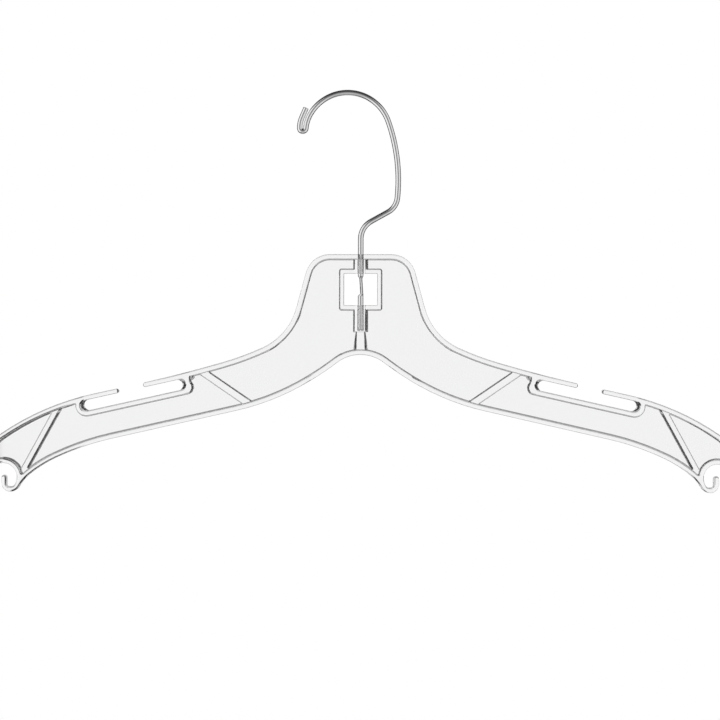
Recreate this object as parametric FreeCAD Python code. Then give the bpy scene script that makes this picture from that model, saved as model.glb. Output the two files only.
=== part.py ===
import FreeCAD, Part
import os, math

# Clothes hanger: a one-piece clear moulded body with flanged arms, strap slots
# and end hooks, and one bent wire hook that swivels in the neck.
#
# Frame: millimetres, +Z up, +X along the arms, +Y through the thickness.
# The origin is on the swivel axis, at the flat top of the neck.
# The body is the same on both sides of X = 0 and of Y = 0; its plan sizes are
# given for the arm on the -X side.

V = FreeCAD.Vector

# ------------------------------------------------------------ body sizes
DEPTH = 7.0            # flange depth, front face to back face
WEB = 2.0              # thin panel inside the flange
RAIL = 2.8             # flange thickness, seen from the front
RIB_DEPTH = 5.0        # ribs and the window's rim, overall
FACE_Y, PANEL_Y, RIB_Y = DEPTH / 2, WEB / 2, RIB_DEPTH / 2
BURIED_Y = 0.6         # pieces added to the panel start at this depth, inside it

EDGE_R = 1.00          # outer flange edges
LIP_R = 0.90           # inner flange edges
RIM_EDGE_R = 0.50      # edges of the window rim
ROOT_R = 0.65          # root of a wall standing on the panel
PRONG_R = 1.12         # plan corners of the prong tips
POCKET_R = 0.8         # plan corners of the whole pocket
CELL_R = 0.7           # plan corners beside the ribs

# Runs are lists of ("L", length) or ("A", radius, turn in degrees).
# Both edges are walked from X = 0 outwards: + turns down, - turns up.
NECK_FLAT = 17.65
TOP = [("L", NECK_FLAT), ("A", 14.35, 74.8), ("L", 21.3), ("A", 34.97, -50.23),
       ("A", 167.3, -8.38), ("A", 869.2, -3.87), ("L", 18.0)]
SHOULDER_R = 151.0     # last arc before the tip; its turn follows from TIP_X
TIP_X = 215.9          # half of the overall width
TIP_R = 20.0           # the arm's end turns down on this radius
NOSE_R = 1.1           # free end of the arm's curl

ARCH_Z = -57.9         # bottom edge at X = 0
BOTTOM = [("A", 22.3, 36.84), ("L", 2.0), ("A", 165.7, -8.09), ("A", 142.4, -16.01),
          ("L", 73.24), ("A", 154.3, 12.64), ("A", 75.12, 13.88), ("A", 22.62, 22.16)]

# end notch, which starts where the nose ends, and its small upright hook
NOTCH_R = 8.0
NOTCH = (2 * NOSE_R + NOTCH_R - TIP_X, -128.6)
NOTCH_MID = 80.0       # degrees, a point on the notch arc between its ends
JHOOK_BOTTOM = -137.1  # lowest point of the body
JHOOK_OUT_X, JHOOK_IN_X = -206.55, -203.5
JHOOK_FLOOR = -134.0
JHOOK_TIP_Z = -129.0   # centre of the rounded tip
FLOOR_NOTCH_R = 2.0    # floor corner at the notch arc
FLOOR_HOOK_R = 1.1     # floor corner at the upright hook

# the pocket stops short of the narrow corner between curl and notch
POCKET_X = 212.4
POCKET_FOOT_Z = NOTCH[1] - 3.4

# strap slot under the top edge, open upwards between two prongs
SLOT_OUT, SLOT_IN = (-157.9, -87.4), (-103.6, -75.25)    # centres of the round ends
SLOT_R = 3.05
PRONG_OUT_X, PRONG_IN_X = -138.2, -124.2
GAP_H = 14.0           # the gap is cut this far above the slot's centre line
PRONG_ZONE = (122.0, 141.5, -90.0, -65.0)    # |X| and Z ranges round the gap's corners
PAD_Y = 2.6            # the slot's ends bulge inwards between these depths ...
PAD_IN = 1.9           # ... by this much at the middle of the thickness
PAD_LENGTH = 2.4       # the bulge is cut off this far from the end's centre
PAD_OVERLAP = 0.8

# solid patches at the slot rim's inner end: (X, Z) corners of the upper one, and
# the radius, shift along the slot and length of the squarer lower corner
UPPER_PATCH = [(-103.0, -68.0), (-98.3, -68.0), (-97.9, -75.2), (-101.0, -76.5)]
LOWER_PATCH_R, LOWER_PATCH_OUT, LOWER_PATCH_L = 3.6, 3.0, 9.0
# cone near the upper patch, its height measured from the middle of the panel
SPUR_X, SPUR_Z = -97.4, -70.8
SPUR_FOOT_R, SPUR_TOP_R, SPUR_H = 1.90, 0.20, 2.6

# ribs: two (X, Z) points on the centre line, width on top, spread of the sloping
# side that faces the middle
RIB_IN = ((-98.0, -63.2), (-57.3, -91.0), 3.5, 0.50)
RIB_OUT = ((-169.8, -80.3), (-198.3, -132.3), 2.6, 0.95)
RIB_OVERLAP = 0.5      # the sloping side reaches this far into its rib

# window and swivel bosses
WIN_X, WIN_TOP, WIN_BOT = 9.55, -11.2, -29.4
RIM_X, RIM_TOP, RIM_BOT, RIM_R = 11.95, -8.75, -31.9, 0.9
BOSS_X, BOSS_Y = 4.10, 2.95     # half-widths
BOSS_R = 1.0
BOSS_CROWN = 0.50      # bulge of the bosses' front and back
BOSS_OVERLAP = 0.5     # the bosses reach this far into the window before it is cut
BOSS_END = -44.6

# centre rib, from the lower boss to the bottom flange
CRIB_TOP_W, CRIB_BOT_W = 2.1, 2.3        # half-widths, top and foot
CRIB_TOP_SPREAD, CRIB_BOT_SPREAD = 0.5, 1.9
CRIB_OVERLAP = 0.8

# ------------------------------------------------------------ wire hook sizes
WIRE_R = 1.6
WIRE_END = -43.5
WIRE_END_R = 0.35
BORE_R = WIRE_R + 0.08     # running clearance all round
BORE_END = WIRE_END - 0.5
MOUTH = 0.45               # chamfer at the top of the bore

# flattened stretch inside the window
FLAT_BLEND = 1.3           # length of the change from round wire to flat
FLAT_TOP, FLAT_BOT = -12.6, -23.9
FLAT_A, FLAT_B = FLAT_TOP - FLAT_BLEND, FLAT_BOT + FLAT_BLEND
FLAT_X, FLAT_Y = 0.90, 2.35              # half-thickness and half-width
FLAT_OFF_A, FLAT_OFF_B = 0.1, 0.65       # lean off the axis, towards +X

# walked upwards from the origin: - turns towards +X first, + the other way
HOOK = [("L", 9.0), ("A", 11.5, -61.0), ("L", 11.2), ("A", 10.5, 55.3),
        ("A", 101.7, 25.3), ("A", 24.8, 131.8), ("A", 20.0, 22.8), ("L", 0.3),
        ("A", 1.75, -173.4), ("A", 15.0, -24.2), ("L", 6.1)]

# how far the middle of a quarter-round lies inside the square corner, per radius
CORNER = 1 - math.sqrt(0.5)


# ------------------------------------------------------------ plane geometry
def walk(steps, start, heading):
    """Follow smooth lines and arcs in the X-Z plane.
    Returns [(start, middle or None, end)], the end point and the end heading."""
    x, z = start
    h = math.radians(heading)
    run = []
    for step in steps:
        if step[0] == "L":
            end = (x + step[1] * math.cos(h), z + step[1] * math.sin(h))
            run.append(((x, z), None, end))
        else:
            turn = math.radians(step[2])
            r = math.copysign(step[1], turn)
            cx, cz = x - r * math.sin(h), z + r * math.cos(h)
            middle, end = [(cx + r * math.sin(h + t), cz - r * math.cos(h + t))
                           for t in (turn / 2, turn)]
            run.append(((x, z), middle, end))
            h += turn
        x, z = end
    return run, (x, z), math.degrees(h)


def inset(steps, distance):
    """The same steps, moved towards the left-hand side of the walk."""
    return [s if s[0] == "L" else ("A", s[1] - distance * math.copysign(1.0, s[2]), s[2])
            for s in steps]


def direction(p, q):
    length = math.hypot(q[0] - p[0], q[1] - p[1])
    return (q[0] - p[0]) / length, (q[1] - p[1]) / length


def along(point, unit, distance):
    return point[0] + unit[0] * distance, point[1] + unit[1] * distance


def polar(centre, radius, angle):
    return centre[0] + radius * math.cos(angle), centre[1] + radius * math.sin(angle)


def in_plane(point):
    return V(point[0], 0, point[1])


def side(start, middle, end):
    """A line, or an arc where a middle point is given."""
    if middle is None:
        return Part.makeLine(start, end)
    return Part.Arc(start, middle, end).toShape()


def ring_of_sides(points, middles):
    return [side(points[i], middle, points[(i + 1) % len(points)])
            for i, middle in enumerate(middles)]


def edges_of(run):
    return [side(in_plane(a), m and in_plane(m), in_plane(b)) for a, m, b in run]


def reverse_run(run):
    return [(b, m, a) for a, m, b in reversed(run)]


def mirror_run(run):
    return [tuple(p and (-p[0], p[1]) for p in part) for part in run]


def both_sides(run):
    """Closed face from a run on the -X side that starts and ends on X = 0."""
    edges = edges_of(run) + edges_of(mirror_run(reverse_run(run)))
    return Part.Face(Part.Wire(Part.__sortEdges__(edges)))


def poly_face(points):
    corners = [in_plane(p) for p in points]
    return Part.Face(Part.makePolygon(corners + [corners[0]]))


def rect_face(x0, x1, z0, z1):
    return poly_face([(x0, z0), (x1, z0), (x1, z1), (x0, z1)])


def circle_face(centre, r):
    return Part.Face(Part.Wire([Part.Circle(in_plane(centre), V(0, 1, 0), r).toShape()]))


def stadium_face(a, b, r):
    """Slot shape with round ends centred on a and b."""
    unit = direction(a, b)
    normal = (-unit[1], unit[0])
    points = [along(a, normal, r), along(b, normal, r), along(b, normal, -r),
              along(a, normal, -r)]
    middles = [None, in_plane(along(b, unit, r)), None, in_plane(along(a, unit, -r))]
    edges = ring_of_sides([in_plane(p) for p in points], middles)
    return Part.Face(Part.Wire(Part.__sortEdges__(edges)))


def band_face(p, q, width):
    unit = direction(p, q)
    normal, half = (-unit[1], unit[0]), width / 2
    return poly_face([along(p, normal, half), along(q, normal, half),
                      along(q, normal, -half), along(p, normal, -half)])


def round_rect_face(x, z0, z1, r):
    """Rectangle from -x to x with rounded corners."""
    k = r * CORNER
    points = [(-x + r, z1), (x - r, z1), (x, z1 - r), (x, z0 + r),
              (x - r, z0), (-x + r, z0), (-x, z0 + r), (-x, z1 - r)]
    middles = []
    for corner in ((x - k, z1 - k), (x - k, z0 + k), (-x + k, z0 + k), (-x + k, z1 - k)):
        middles += [None, in_plane(corner)]
    return Part.Face(Part.Wire(ring_of_sides([in_plane(p) for p in points], middles)))


def opened(face, r):
    """Shrink and grow a face: rounds its outward plan corners to radius r."""
    out = []
    for piece in face.Faces:
        for core in piece.makeOffset2D(-r, 0, False, False, False).Faces:
            grown = core.makeOffset2D(r, 0, False, False, False)
            out += [f for f in grown.Faces if f.Area > 20.0]
    return out


def prism(face, y0, y1):
    base = face.copy()
    base.translate(V(0, y0, 0))
    return base.extrude(V(0, y1 - y0, 0))


def mirrored(shape):
    return shape.mirror(V(0, 0, 0), V(1, 0, 0))


# ------------------------------------------------------------ edge selection
def flat_at(shape, y):
    """True for an edge or face lying in the plane at depth y or -y."""
    box = shape.BoundBox
    return box.YLength < 1e-6 and abs(abs(box.YMin) - y) < 1e-6


def normals_at(shape, edge, point):
    """Normals of the two faces that meet in the edge, or None."""
    faces = shape.ancestorsOfType(edge, Part.Face)
    if len(faces) != 2:
        return None
    return [f.normalAt(*f.Surface.parameter(point)) for f in faces]


def sharp_upright(shape, x0, x1, z0, z1):
    """Edges along Y inside the zone whose two faces don't meet smoothly."""
    out = []
    for edge in shape.Edges:
        if len(edge.Vertexes) != 2:
            continue
        a, b = [v.Point for v in edge.Vertexes]
        if abs(a.x - b.x) > 1e-6 or abs(a.z - b.z) > 1e-6 or abs(a.y - b.y) < 1e-6:
            continue
        if not (x0 < a.x < x1 and z0 < a.z < z1):
            continue
        normals = normals_at(shape, edge, (a + b) * 0.5)
        if normals and (normals[0].cross(normals[1]).Length > 0.15
                        or normals[0].dot(normals[1]) < 0):
            out.append(edge)
    return out


def sharp_edges(shape, test):
    """Edges that pass the test and whose two faces meet at an outside corner."""
    out = []
    for edge in shape.Edges:
        if not test(edge):
            continue
        first, last = edge.ParameterRange
        middle = edge.valueAt((first + last) / 2)
        normals = normals_at(shape, edge, middle)
        if not normals or normals[0].cross(normals[1]).Length <= 0.2:
            continue
        # a step along one normal and against the other stays inside at an inside corner
        if not shape.isInside(middle + (normals[0] - normals[1]) * 0.02, 1e-4, True):
            out.append(edge)
    return out


def on_window_rim(edge):
    box = edge.BoundBox
    return (flat_at(edge, RIB_Y) and box.XMin > -RIM_X - 0.01 and box.XMax < RIM_X + 0.01
            and box.ZMin > RIM_BOT - 0.01 and box.ZMax < RIM_TOP + 0.01)


# ------------------------------------------------------------ body outline
def top_to_tip():
    """Steps of the top edge out to the vertical tangent at X = -TIP_X."""
    _, (x, _), h0 = walk(TOP, (0.0, 0.0), 180.0)
    sine = ((TIP_R - TIP_X - x + SHOULDER_R * math.sin(math.radians(h0)))
            / (SHOULDER_R - TIP_R))
    h1 = 180.0 - math.degrees(math.asin(sine))
    return TOP + [("A", SHOULDER_R, h1 - h0), ("A", TIP_R, 270.0 - h1)]


TOP_TO_TIP = top_to_tip()


def notch_run():
    """Notch, floor and inside of the small hook, over its tip to the outside."""
    # the first floor corner touches the notch arc from inside
    z = JHOOK_FLOOR + FLOOR_NOTCH_R
    x = NOTCH[0] + math.sqrt((NOTCH_R - FLOOR_NOTCH_R) ** 2 - (z - NOTCH[1]) ** 2)
    touch = math.atan2(z - NOTCH[1], x - NOTCH[0])
    notch_end = polar(NOTCH, NOTCH_R, touch)
    floor_end = (JHOOK_IN_X + FLOOR_HOOK_R, JHOOK_FLOOR)
    wall_foot = (JHOOK_IN_X, JHOOK_FLOOR + FLOOR_HOOK_R)
    wall_top = (JHOOK_IN_X, JHOOK_TIP_Z)
    k = FLOOR_HOOK_R * CORNER
    tip_r = (JHOOK_IN_X - JHOOK_OUT_X) / 2
    return [((NOTCH[0] - NOTCH_R, NOTCH[1]),
             polar(NOTCH, NOTCH_R, math.radians(NOTCH_MID)), notch_end),
            (notch_end, polar((x, z), FLOOR_NOTCH_R, (touch - math.pi / 2) / 2),
             (x, JHOOK_FLOOR)),
            ((x, JHOOK_FLOOR), None, floor_end),
            (floor_end, (JHOOK_IN_X + k, JHOOK_FLOOR + k), wall_foot),
            (wall_foot, None, wall_top),
            (wall_top, ((JHOOK_IN_X + JHOOK_OUT_X) / 2, JHOOK_TIP_Z + tip_r),
             (JHOOK_OUT_X, JHOOK_TIP_Z))]


def bottom_run():
    """Bottom edge, joined by two radii to the outside of the small hook."""
    start = (0.0, ARCH_Z)
    _, end, heading = walk(BOTTOM, start, 180.0)
    level_r = (end[1] - JHOOK_BOTTOM) / (1.0 + math.cos(math.radians(heading)))
    steps = BOTTOM + [("A", level_r, 180.0 - heading)]
    _, lowest, _ = walk(steps, start, 180.0)
    run, end, _ = walk(steps + [("A", lowest[0] - JHOOK_OUT_X, -90.0)], start, 180.0)
    return run + [(end, None, (JHOOK_OUT_X, JHOOK_TIP_Z))]


def body_outline():
    _, tip, _ = walk(TOP_TO_TIP, (0.0, 0.0), 180.0)
    nose = [("L", tip[1] - NOTCH[1]), ("A", NOSE_R, 180.0)]
    top, _, _ = walk(TOP_TO_TIP + nose, (0.0, 0.0), 180.0)
    return both_sides(top + notch_run() + reverse_run(bottom_run()))


def inner_outline(distance):
    """Face bounded by the top and bottom edges moved inwards."""
    top, tip, _ = walk(inset(TOP_TO_TIP, distance), (0.0, -distance), 180.0)
    bottom, end, _ = walk(inset(BOTTOM, -distance), (0.0, ARCH_Z + distance), 180.0)
    foot = (tip[0], POCKET_FOOT_Z)
    return both_sides(top + [(tip, None, foot), (foot, None, end)] + reverse_run(bottom))


SLOT_DIR = direction(SLOT_OUT, SLOT_IN)


def above_slot(x, height):
    """Point square above the slot's centre line where that line passes x."""
    foot = along(SLOT_OUT, SLOT_DIR, (x - SLOT_OUT[0]) / SLOT_DIR[0])
    return along(foot, (-SLOT_DIR[1], SLOT_DIR[0]), height)


def make_blank():
    """Solid body without pockets, its outline rounded front and back."""
    slot = stadium_face(SLOT_OUT, SLOT_IN, SLOT_R)
    gap = poly_face([above_slot(PRONG_OUT_X, 0.0), above_slot(PRONG_IN_X, 0.0),
                     above_slot(PRONG_IN_X, GAP_H), above_slot(PRONG_OUT_X, GAP_H)])
    plan = body_outline().cut(slot).cut(gap).cut(mirrored(slot)).cut(mirrored(gap))
    blank = prism(plan.Faces[0], -FACE_Y, FACE_Y)
    for sx in (-1, 1):
        x0, x1 = sorted((sx * PRONG_ZONE[0], sx * PRONG_ZONE[1]))
        blank = blank.makeFillet(PRONG_R, sharp_upright(blank, x0, x1, *PRONG_ZONE[2:]))
    return blank.makeFillet(EDGE_R, [e for e in blank.Edges if flat_at(e, FACE_Y)])


# ------------------------------------------------------------ pockets
def pocket_field():
    """Plan of the whole pocket inside the flange, the notch and the slot rims."""
    down = (SLOT_DIR[1], -SLOT_DIR[0])
    patch_a = along(along(SLOT_IN, SLOT_DIR, LOWER_PATCH_OUT), down,
                    SLOT_R + RAIL - LOWER_PATCH_R)
    patch_b = along(patch_a, SLOT_DIR, -LOWER_PATCH_L)
    solid_areas = [circle_face(NOTCH, NOTCH_R + RAIL),
                   stadium_face(SLOT_OUT, SLOT_IN, SLOT_R + RAIL),
                   poly_face(UPPER_PATCH),
                   stadium_face(patch_a, patch_b, LOWER_PATCH_R)]
    field = inner_outline(RAIL)
    for area in solid_areas + [mirrored(a) for a in solid_areas]:
        field = field.cut(area)
    for sx in (-1, 1):
        x0, x1 = sorted((sx * POCKET_X, sx * 230.0))
        field = field.cut(rect_face(x0, x1, -140.0, -90.0))
    return opened(field, POCKET_R)[0]


def panel_cells(field):
    """The field split up by the ribs."""
    low = field.copy()
    for p, q, width, _ in (RIB_IN, RIB_OUT):
        band = band_face(p, q, width)
        low = low.cut(band).cut(mirrored(band))
    low = low.cut(poly_face([(-CRIB_TOP_W, BOSS_END), (CRIB_TOP_W, BOSS_END),
                             (CRIB_BOT_W, ARCH_Z + 0.5), (-CRIB_BOT_W, ARCH_Z + 0.5)]))
    return opened(low, CELL_R)


def cell_key(face):
    box = face.BoundBox
    return tuple(round(v, 2) for v in (box.XMin, box.XMax, box.ZMin, box.ZMax))


def panel_faces(tool):
    return [f for f in tool.Faces if flat_at(f, PANEL_Y)]


def pocket_tool():
    """Cutter for the +Y side: the whole field down to the ribs, cells to the panel."""
    field = pocket_field()
    rim = round_rect_face(RIM_X, RIM_BOT, RIM_TOP, RIM_R)
    tool = prism(field, RIB_Y, FACE_Y + 1.0)
    for cell in panel_cells(field):
        for face in cell.cut(rim).Faces:
            tool = tool.fuse(prism(face, PANEL_Y, RIB_Y))
    tool = tool.removeSplitter()
    # root radii one cell at a time, as each fillet renews the tool's faces
    for key in sorted(cell_key(f) for f in panel_faces(tool)):
        for face in panel_faces(tool):
            if cell_key(face) == key:
                tool = tool.makeFillet(ROOT_R, face.Edges)
                break
    return tool


# ------------------------------------------------------------ added pieces
def boss(z0, z1):
    """Upright block round the swivel axis, crowned front and back."""
    x, y, r, k = BOSS_X, BOSS_Y - BOSS_CROWN, BOSS_R, BOSS_R * CORNER
    points = [(x, -(y - r)), (x, y - r), (x - r, y), (-(x - r), y),
              (-x, y - r), (-x, -(y - r)), (-(x - r), -y), (x - r, -y)]
    middles = [None, (x - k, y - k), (0, BOSS_Y), (-(x - k), y - k),
               None, (-(x - k), -(y - k)), (0, -BOSS_Y), (x - k, -(y - k))]
    edges = ring_of_sides([V(px, py, z0) for px, py in points],
                          [m and V(m[0], m[1], z0) for m in middles])
    return Part.Face(Part.Wire(edges)).extrude(V(0, 0, z1 - z0))


def sloping_side(stations, across, sy, overlap):
    """Sloping side of a rib, from the rib's top down into the panel.
    Stations are (centre point, half-width on top, spread); across is the unit
    vector from the centre line to this side, sy the sign of Y."""
    profiles = []
    for centre, half, spread in stations:
        section = [(half - overlap, BURIED_Y), (half - overlap, RIB_Y), (half, RIB_Y),
                   (half + spread, PANEL_Y), (half + spread, BURIED_Y)]
        points = []
        for reach, y in section:
            x, z = along(centre, across, reach)
            points.append(V(x, sy * y, z))
        profiles.append(Part.makePolygon(points + [points[0]]))
    return Part.makeLoft(profiles, True, True)


def rib_side(rib, sy):
    p, q, width, spread = rib
    unit = direction(p, q)
    stations = [(p, width / 2, spread), (q, width / 2, spread)]
    return sloping_side(stations, (-unit[1], unit[0]), sy, RIB_OVERLAP)


def add_bosses_and_slopes(body):
    body = body.fuse(boss(WIN_TOP - BOSS_OVERLAP, -RAIL / 2))
    body = body.fuse(boss(BOSS_END, WIN_BOT + BOSS_OVERLAP))

    centre_rib = [((0.0, BOSS_END + 1.0), CRIB_TOP_W, CRIB_TOP_SPREAD),
                  ((0.0, ARCH_Z + 1.2), CRIB_BOT_W, CRIB_BOT_SPREAD)]
    for sx in (-1, 1):
        for sy in (-1, 1):
            body = body.fuse(sloping_side(centre_rib, (sx, 0), sy, CRIB_OVERLAP))

    # the diagonal ribs' sloping sides end halfway into the flange
    limit = prism(inner_outline(RAIL / 2), -DEPTH, DEPTH)
    for sy in (-1, 1):
        pieces = [rib_side(rib, sy).common(limit) for rib in (RIB_OUT, RIB_IN)]
        pieces.append(Part.makeCone(SPUR_FOOT_R, SPUR_TOP_R, SPUR_H - BURIED_Y,
                                    V(SPUR_X, sy * BURIED_Y, SPUR_Z), V(0, sy, 0)))
        for piece in pieces:
            body = body.fuse(piece).fuse(mirrored(piece))
    return body.removeSplitter()


def slot_pad(end, inward):
    """Blunt ridge at one end of a slot; inward is the unit vector into the slot."""
    cut_off = along(end, inward, PAD_LENGTH)
    block = prism(stadium_face(end, cut_off, SLOT_R + PAD_OVERLAP), -PAD_Y, PAD_Y)
    beyond = band_face(cut_off, along(cut_off, inward, 20.0), 12.0)
    block = block.cut(prism(beyond, -PAD_Y - 1, PAD_Y + 1))
    far = along(end, inward, 12.0)
    # the opening narrows from both faces to the middle of the thickness
    for sy in (-1, 1):
        wide = stadium_face(end, far, SLOT_R).OuterWire
        narrow = stadium_face(along(end, inward, PAD_IN), far, SLOT_R).OuterWire
        wide.translate(V(0, sy * PAD_Y, 0))
        block = block.cut(Part.makeLoft([wide, narrow], True, True))
    return block


def add_slot_pads(body):
    for end, inward in ((SLOT_OUT, SLOT_DIR), (SLOT_IN, (-SLOT_DIR[0], -SLOT_DIR[1]))):
        pad = slot_pad(end, inward)
        body = body.fuse(pad).fuse(mirrored(pad))
    return body.removeSplitter()


def cut_window_and_bore(body):
    up = V(0, 0, 1)
    body = body.cut(prism(rect_face(-WIN_X, WIN_X, WIN_BOT, WIN_TOP), -DEPTH, DEPTH))
    body = body.cut(Part.makeCylinder(BORE_R, 20.0, V(0, 0, WIN_TOP - 1), up))
    body = body.cut(Part.makeCylinder(BORE_R, WIN_BOT + 1 - BORE_END, V(0, 0, BORE_END), up))
    # the mouth stands just proud of the neck so that it cuts clean through
    return body.cut(Part.makeCone(BORE_R, BORE_R + MOUTH, MOUTH, V(0, 0, 0.001 - MOUTH), up))


def make_body():
    tool = pocket_tool()
    body = make_blank().cut(tool).cut(tool.mirror(V(0, 0, 0), V(0, 1, 0)))
    body = body.makeFillet(LIP_R, sharp_edges(body, lambda e: flat_at(e, FACE_Y)))
    body = cut_window_and_bore(add_slot_pads(add_bosses_and_slopes(body)))
    rim_edges = sharp_edges(body, on_window_rim)
    # guards the rim fillet: where it can't be built, the rim keeps sharp edges
    try:
        softened = body.makeFillet(RIM_EDGE_R, rim_edges)
        if softened.isValid():
            body = softened
    except Exception:
        pass
    return body


# ------------------------------------------------------------ wire hook
def wire_section(z, half_x=WIRE_R, half_y=WIRE_R, offset=0.0):
    """Round or flattened section of the wire, its seam towards +Y."""
    if abs(half_x - half_y) < 1e-9:
        curve = Part.Circle(V(offset, 0, z), V(0, 0, 1), half_x)
        curve.XAxis = V(0, 1, 0)
    else:
        curve = Part.Ellipse(V(offset, half_y, z), V(offset - half_x, 0, z), V(offset, 0, z))
    return Part.Wire([curve.toShape()])


def flat_stretch():
    """Flattened stretch of the wire with its two blends."""
    half_way = ((WIRE_R + FLAT_X) / 2, (WIRE_R + FLAT_Y) / 2)
    lofts = []
    for round_z, flat_z, offset in ((FLAT_TOP, FLAT_A, FLAT_OFF_A),
                                    (FLAT_BOT, FLAT_B, FLAT_OFF_B)):
        sections = [wire_section(round_z),
                    wire_section((round_z + flat_z) / 2, *half_way, offset / 2),
                    wire_section(flat_z, FLAT_X, FLAT_Y, offset)]
        if round_z < flat_z:
            sections.reverse()             # all lofts run downwards
        lofts.append(Part.makeLoft(sections, True, False))
    flat = Part.makeLoft([wire_section(FLAT_A, FLAT_X, FLAT_Y, FLAT_OFF_A),
                          wire_section(FLAT_B, FLAT_X, FLAT_Y, FLAT_OFF_B)], True, True)
    return lofts[0].fuse(flat).fuse(lofts[1])


def make_hook():
    up = V(0, 0, 1)
    run, hook_end, _ = walk(HOOK, (0.0, 0.0), 90.0)
    profile = Part.Wire([Part.Circle(V(0, 0, 0), up, WIRE_R).toShape()])
    bend = Part.Wire(edges_of(run)).makePipeShell([profile], True, True)
    upper = Part.makeCylinder(WIRE_R, -FLAT_TOP, V(0, 0, FLAT_TOP), up)
    lower = Part.makeCylinder(WIRE_R, FLAT_BOT - WIRE_END, V(0, 0, WIRE_END), up)
    foot = [e for e in lower.Edges
            if abs(e.BoundBox.ZMax - WIRE_END) < 1e-6 and e.BoundBox.XLength > 1]
    lower = lower.makeFillet(WIRE_END_R, foot)
    hook = bend.fuse(upper).fuse(flat_stretch()).fuse(lower).removeSplitter()

    # dull the cut end of the wire
    tip_edges = [e for e in hook.Edges
                 if (e.BoundBox.Center - in_plane(hook_end)).Length < 0.05
                 and e.BoundBox.YLength > 2 * WIRE_R - 0.01]
    if tip_edges:
        hook = hook.makeFillet(WIRE_END_R, tip_edges[:1])
    return hook


# ------------------------------------------------------------ export
os.makedirs("parts", exist_ok=True)
for name, shape in (("hanger_body", make_body()), ("swivel_hook", make_hook())):
    piece = shape.Solids[0] if len(shape.Solids) == 1 else shape
    piece.exportStep("parts/%s.step" % name)
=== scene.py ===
# A clothes hanger: a clear polystyrene body with a plated wire swivel hook.
# It hangs upright in the XZ plane, and the camera looks at it along +Y. Units are metres.
from math import radians
import bpy
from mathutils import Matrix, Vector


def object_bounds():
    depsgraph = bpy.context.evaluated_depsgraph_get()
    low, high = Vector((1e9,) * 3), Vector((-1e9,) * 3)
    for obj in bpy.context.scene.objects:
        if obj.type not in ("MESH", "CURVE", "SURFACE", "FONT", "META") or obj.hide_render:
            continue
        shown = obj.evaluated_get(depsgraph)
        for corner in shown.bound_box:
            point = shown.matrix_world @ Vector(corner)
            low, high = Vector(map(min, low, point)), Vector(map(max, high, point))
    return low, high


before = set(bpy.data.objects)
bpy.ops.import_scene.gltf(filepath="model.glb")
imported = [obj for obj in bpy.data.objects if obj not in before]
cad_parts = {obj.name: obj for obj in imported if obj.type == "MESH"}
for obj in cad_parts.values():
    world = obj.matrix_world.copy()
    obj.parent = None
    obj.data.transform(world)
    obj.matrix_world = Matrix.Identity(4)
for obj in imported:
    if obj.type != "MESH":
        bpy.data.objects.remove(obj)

cad_lo, cad_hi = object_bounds()
centre = (cad_lo + cad_hi) / 2
scene = bpy.context.scene

WHITE = (1.0, 1.0, 1.0, 1)


# ------------------------------------------------------------ node helpers
class Tree:
    """An emptied node tree with one output node and short ways to add others.

    An input may be given as a plain value or as another node's output socket.
    """

    def __init__(self, tree, output_kind="ShaderNodeOutputMaterial"):
        self.tree = tree
        self.tree.nodes.clear()
        self.output = self.node(output_kind)

    def node(self, kind, inputs=None, **props):
        """Adds a node; inputs maps socket names or numbers to what they take."""
        made = self.tree.nodes.new(kind)
        for name, value in props.items():
            setattr(made, name, value)
        for key, value in (inputs or {}).items():
            if hasattr(value, "is_output"):
                self.tree.links.new(value, made.inputs[key])
            else:
                made.inputs[key].default_value = value
        return made

    def surface(self, shader):
        self.tree.links.new(shader.outputs[0], self.output.inputs["Surface"])

    def math(self, op, a, b=0.0):
        return self.node("ShaderNodeMath", {0: a, 1: b, 2: 0.0}, operation=op).outputs[0]

    def vmath(self, op, a, b=(0, 0, 0)):
        made = self.node("ShaderNodeVectorMath", {0: a, 1: b}, operation=op)
        return made.outputs["Value" if op == "LENGTH" else "Vector"]

    def ramp(self, value, start, end, at_start=0.0, at_end=1.0, kind="SMOOTHSTEP"):
        """Goes from at_start to at_end while value goes from start to end."""
        return self.node("ShaderNodeMapRange", {
            "Value": value, "From Min": start, "From Max": end,
            "To Min": at_start, "To Max": at_end}, interpolation_type=kind).outputs["Result"]

    def mix(self, factor, a, b):
        return self.node("ShaderNodeMix", {0: factor, 2: a, 3: b},
                         data_type="FLOAT").outputs[0]

    def mix_colour(self, factor, a, b):
        return self.node("ShaderNodeMix", {0: factor, 6: a, 7: b},
                         data_type="RGBA").outputs[2]

    def noise(self, vector, scale, detail, rough, distort=0.0):
        return self.node("ShaderNodeTexNoise", {
            "Vector": vector, "Scale": scale, "Detail": detail,
            "Roughness": rough, "Distortion": distort}).outputs["Fac"]

    def combine(self, x, y, z):
        return self.node("ShaderNodeCombineXYZ", {0: x, 1: y, 2: z}).outputs[0]

    def split(self, vector):
        return self.node("ShaderNodeSeparateXYZ", {0: vector}).outputs[:]

    def position_mm(self):
        """World position in millimetres, the unit of the surface noises."""
        geometry = self.node("ShaderNodeNewGeometry")
        return self.node("ShaderNodeVectorMath", {
            0: geometry.outputs["Position"], "Scale": 1000.0}, operation="SCALE").outputs[0]

    def bump(self, height, strength, distance, normal=None):
        inputs = {"Strength": strength, "Distance": distance, "Height": height}
        if normal is not None:
            inputs["Normal"] = normal
        return self.node("ShaderNodeBump", inputs).outputs[0]


def new_material(name):
    material = bpy.data.materials.new(name)
    material.use_nodes = True
    return material, Tree(material.node_tree)


# ------------------------------------------------------------ clear polystyrene
CROWN_RADIUS = 0.0006
CROWN_SAMPLES = 8
FLOW_STRETCH = (0.05, 0.05, 0.09)    # waves per mm of the flow noise along x, y, z


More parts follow.
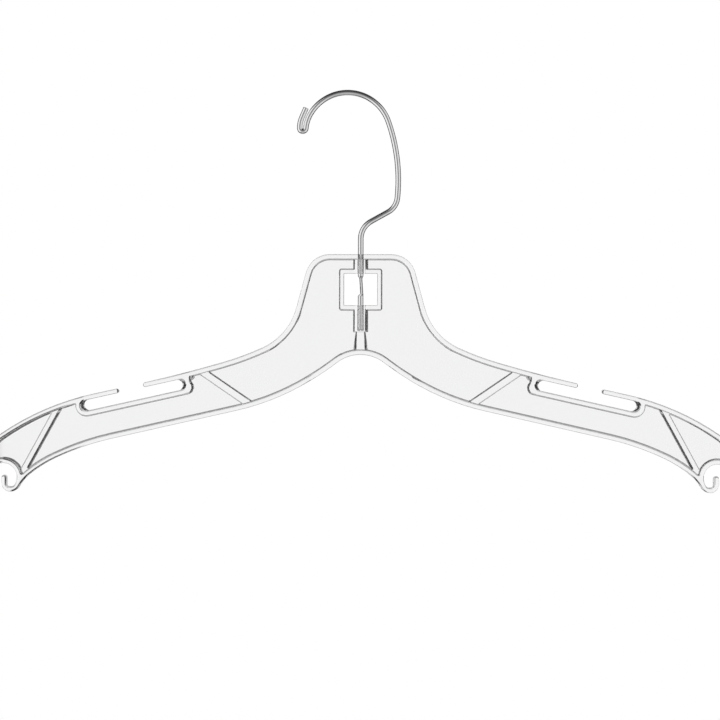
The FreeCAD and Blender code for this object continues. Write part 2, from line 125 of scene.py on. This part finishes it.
def make_plastic():
    material, t = new_material("clear_polystyrene")
    pos = t.position_mm()
    # slow waviness that the mould's flow leaves in the thin panel, and a finer skin
    flow = t.noise(t.vmath("MULTIPLY", pos, FLOW_STRETCH),
                   scale=1.0, detail=2.0, rough=0.5, distort=0.6)
    skin = t.noise(pos, scale=0.55, detail=3.0, rough=0.55)
    # moulded flanges are nowhere quite flat: the faces crown softly towards their edges
    crown = t.node("ShaderNodeBevel", {"Radius": CROWN_RADIUS}, samples=CROWN_SAMPLES)
    wavy = t.bump(flow, strength=0.35, distance=0.00004, normal=crown.outputs[0])
    normal = t.bump(skin, strength=0.2, distance=0.000004, normal=wavy)
    # a few soft scuffs: a little more roughness in patches
    patches = t.noise(pos, scale=0.09, detail=4.0, rough=0.6)
    scuff = t.ramp(patches, start=0.55, end=0.75, at_start=0.015, at_end=0.05)
    t.surface(t.node("ShaderNodeBsdfPrincipled", {
        "Base Color": (0.950, 0.950, 0.952, 1),
        "Metallic": 0.0,
        "IOR": 1.59,
        "Transmission Weight": 1.0,
        "Normal": normal,
        "Roughness": scuff}))
    return material


# ------------------------------------------------------------ plated wire
LINES_ROUND = 9.0                    # noise units per radian round the wire
LINES_ALONG = (0.02, 0.0, 0.02)      # noise units per mm from the origin, in the XZ plane
SIDE_TILT = 0.35                     # share of the normal's z in telling the two sides apart
BRIGHT_PLATING = (0.90, 0.90, 0.91, 1)
DULL_PLATING = (0.80, 0.80, 0.81, 1)
SPECK_ROUGHNESS = 0.17


def make_wire():
    material, t = new_material("plated_wire")
    pos = t.position_mm()
    normal = t.node("ShaderNodeTexCoord").outputs["Normal"]
    normal_x, normal_y, normal_z = t.split(normal)
    # drawing lines run along the wire: the wire is bent in one plane, so the
    # normal's part across that plane tells where round the wire a point is
    side = t.math("SIGN", t.math("ADD", normal_x, t.math("MULTIPLY", normal_z, SIDE_TILT)))
    around = t.math("MULTIPLY", t.math("ARCSINE", normal_y), LINES_ROUND)
    along = t.vmath("LENGTH", t.vmath("MULTIPLY", pos, LINES_ALONG))
    lines = t.noise(t.combine(around, side, along), scale=2.2, detail=4.0, rough=0.6)
    speck = t.noise(pos, scale=1.7, detail=3.0, rough=0.55)
    line_roughness = t.ramp(lines, start=0.3, end=0.7, at_start=0.07, at_end=0.13)
    t.surface(t.node("ShaderNodeBsdfPrincipled", {
        "Metallic": 1.0,
        "Normal": t.bump(lines, strength=0.35, distance=0.00002),
        "Roughness": t.mix(t.ramp(speck, start=0.35, end=0.75),
                           line_roughness, SPECK_ROUGHNESS),
        "Base Color": t.mix_colour(t.ramp(lines, start=0.25, end=0.75),
                                   BRIGHT_PLATING, DULL_PLATING)}))
    return material


def dress(piece, material):
    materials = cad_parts[piece].data.materials
    materials.clear()
    materials.append(material)


dress("hanger_body", make_plastic())
dress("swivel_hook", make_wire())

# ------------------------------------------------------------ studio room
# One soft studio that stays put round the camera, as for an object shown on a
# turntable: a lit white card behind the object, soft white panels left and right,
# a dim room in front, and darkness past the card's edges, which gives clear plastic
# its drawn outline. The camera itself sees plain white beyond the object.

# side panels, in degrees round from the card
PANEL_START, PANEL_END = 82, 152
# brightness of each part of the room
PANEL_LEFT, PANEL_RIGHT = 1.0, 0.78
ROOM, ROOM_TOP = 0.26, 0.04
TABLE, GROUND, DARK = 0.22, 0.22, 0.03
# degrees of elevation between which the ground fades in, going down
GROUND_START, GROUND_FULL = -44, -62


def studio_light(t, direction):
    """Brightness of the room seen along a world direction, card aside."""
    def fade(angle, start, end, **levels):
        return t.ramp(angle, start=radians(start), end=radians(end), **levels)

    view = t.node("ShaderNodeVectorTransform", {0: direction}, vector_type="VECTOR",
                  convert_from="WORLD", convert_to="CAMERA")
    x, y, z = t.split(t.vmath("NORMALIZE", view.outputs[0]))
    around = t.math("ARCTAN2", t.math("ABSOLUTE", x), z)      # 0 behind the object
    up = t.math("ARCSINE", y)

    panel_height = t.math("MULTIPLY", fade(up, start=48, end=34),
                          fade(up, start=-58, end=GROUND_START))
    panel_width = t.math("MULTIPLY", fade(around, start=PANEL_START, end=PANEL_START + 10),
                         fade(around, start=PANEL_END + 8, end=PANEL_END - 4))
    panel = t.math("MULTIPLY", t.math("MULTIPLY", panel_width, panel_height),
                   t.ramp(x, start=-0.1, end=0.1, at_start=PANEL_LEFT, at_end=PANEL_RIGHT))

    front = fade(around, start=PANEL_END - 10, end=PANEL_END + 6)
    table = t.math("MULTIPLY", fade(up, start=-6, end=-18),
                   fade(up, start=GROUND_FULL, end=GROUND_START))
    walls = fade(up, start=26, end=8, at_start=ROOM_TOP, at_end=ROOM)
    room = t.math("MULTIPLY", front, t.math("ADD", walls, t.math("MULTIPLY", table, TABLE)))

    ground = t.math("MULTIPLY", fade(up, start=GROUND_START, end=GROUND_FULL), GROUND)
    total = t.math("ADD", t.math("ADD", panel, ground), t.math("ADD", room, DARK))
    return t.math("MINIMUM", total, 1.0)


def make_world():
    world = bpy.data.worlds.new("studio")
    scene.world = world
    world.use_nodes = True
    t = Tree(world.node_tree, "ShaderNodeOutputWorld")
    direction = t.node("ShaderNodeTexCoord").outputs["Generated"]
    camera_ray = t.node("ShaderNodeLightPath").outputs["Is Camera Ray"]
    strength = t.mix(camera_ray, studio_light(t, direction), 1.0)
    t.surface(t.node("ShaderNodeBackground", {"Color": WHITE, "Strength": strength}))


make_world()

# ------------------------------------------------------------ floor
FLOOR_SIZE = 14.0
FLOOR_DROP = 0.16                    # below the hanger's lowest point
# how far the painted shadow reaches: ambient occlusion, not a cast shadow, darkens the floor
PAINTED_SHADOW_REACH = 0.35


def make_floor_material():
    material, t = new_material("pale_floor_painted_shadow")
    # painted shadow: ambient occlusion dims the floor's white glow by up to a tenth near the
    # hanger
    painted_shadow_ao = t.node("ShaderNodeAmbientOcclusion", {"Distance": PAINTED_SHADOW_REACH}, samples=8)
    strength = t.ramp(painted_shadow_ao.outputs["AO"], start=0.6, end=1.0,
                      at_start=0.90, at_end=1.0, kind="LINEAR")
    glow_with_painted_shadow = t.node("ShaderNodeEmission", {"Color": WHITE, "Strength": strength})
    # seen from below the floor is clear, so that it never hides the object
    from_below = t.node("ShaderNodeNewGeometry").outputs["Backfacing"]
    clear = t.node("ShaderNodeBsdfTransparent")
    t.surface(t.node("ShaderNodeMixShader",
                     {0: from_below, 1: glow_with_painted_shadow.outputs[0], 2: clear.outputs[0]}))
    return material


def make_floor():
    """Pale glowing floor with a painted soft shadow, which only the camera sees."""
    bpy.ops.mesh.primitive_plane_add(size=FLOOR_SIZE, location=(0, 0, cad_lo.z - FLOOR_DROP))
    floor = bpy.context.object
    floor.name = "floor"
    floor.data.materials.append(make_floor_material())
    for rays in ("diffuse", "glossy", "transmission", "volume_scatter", "shadow"):
        setattr(floor, "visible_" + rays, False)


make_floor()

# ------------------------------------------------------------ camera
CAMERA_DIST = 1.7
CAMERA_X, CAMERA_Z = -0.00030, -0.06090
CAMERA_TILT = -0.12                  # degrees, a slight turn in the picture plane
VIEW_WIDTH = 0.4152                  # what the frame spans at the object's mid-plane
SENSOR_MM = 36.0


def make_camera():
    data = bpy.data.cameras.new("camera")
    data.sensor_width = SENSOR_MM
    data.lens = SENSOR_MM * CAMERA_DIST / VIEW_WIDTH
    data.clip_start = 0.05
    data.clip_end = 50
    camera = bpy.data.objects.new("camera", data)
    scene.collection.objects.link(camera)
    camera.location = (CAMERA_X, -CAMERA_DIST, CAMERA_Z)
    camera.rotation_euler = (radians(90), radians(CAMERA_TILT), 0)
    scene.camera = camera
    return camera


camera = make_camera()

# ------------------------------------------------------------ lit card
CARD_BACK = 1.50                     # behind the object's centre
CARD_SHIFT = 0.075                   # to the camera's right
LIT_WIDTH = 0.98
CARD_SIZE = (LIT_WIDTH * 2.6, 3.4, 1)    # the plane is wider than its lit part
EDGE_SOFTNESS = 0.03
FLARE, FLARE_START = 0.45, 0.15      # the lit part widens above this height
TOP_LEVEL, FOOT_LEVEL = 0.50, 0.36   # brightness it fades to above and below
FADE_START, FADE_END = 0.30, 0.50    # heights above and below the card's centre


def make_card_material():
    material, t = new_material("lit_card")
    place = t.node("ShaderNodeTexCoord").outputs["Object"]
    x, y, _ = t.split(t.vmath("MULTIPLY", place, CARD_SIZE))
    height = t.math("MAXIMUM", t.math("SUBTRACT", y, FLARE_START), 0.0)
    flare = t.math("MULTIPLY", height, FLARE)
    edge = t.ramp(t.math("SUBTRACT", t.math("ABSOLUTE", x), flare),
                  start=LIT_WIDTH / 2, end=LIT_WIDTH / 2 - EDGE_SOFTNESS)
    top = t.ramp(y, start=FADE_START, end=FADE_END, at_start=1.0, at_end=TOP_LEVEL)
    foot = t.ramp(y, start=-FADE_START, end=-FADE_END, at_start=1.0, at_end=FOOT_LEVEL)
    strength = t.math("MULTIPLY", edge, t.math("MINIMUM", top, foot))
    t.surface(t.node("ShaderNodeEmission", {"Strength": strength}))
    return material


def make_card():
    """The card hangs behind the object on a rig that turns with the camera."""
    rig = bpy.data.objects.new("rig", None)
    scene.collection.objects.link(rig)
    rig.location = centre
    rig.constraints.new("COPY_ROTATION").target = camera
    bpy.ops.mesh.primitive_plane_add(size=1.0)
    card = bpy.context.object
    card.name = "card"
    card.scale = CARD_SIZE
    card.parent = rig
    card.location = (CARD_SHIFT, 0, -CARD_BACK)
    card.data.materials.append(make_card_material())
    card.visible_camera = False
    card.visible_shadow = False


make_card()

# ------------------------------------------------------------ render settings
scene.view_settings.view_transform = "Standard"
scene.view_settings.look = "None"
scene.view_settings.exposure = 0.0
scene.view_settings.gamma = 1.0
# light passes through many clear walls, and is kept sharp on the way
cycles = scene.cycles
cycles.max_bounces = 32
cycles.transmission_bounces = 32
cycles.glossy_bounces = 16
cycles.transparent_max_bounces = 16
cycles.caustics_reflective = True
cycles.caustics_refractive = True
cycles.blur_glossy = 0.0
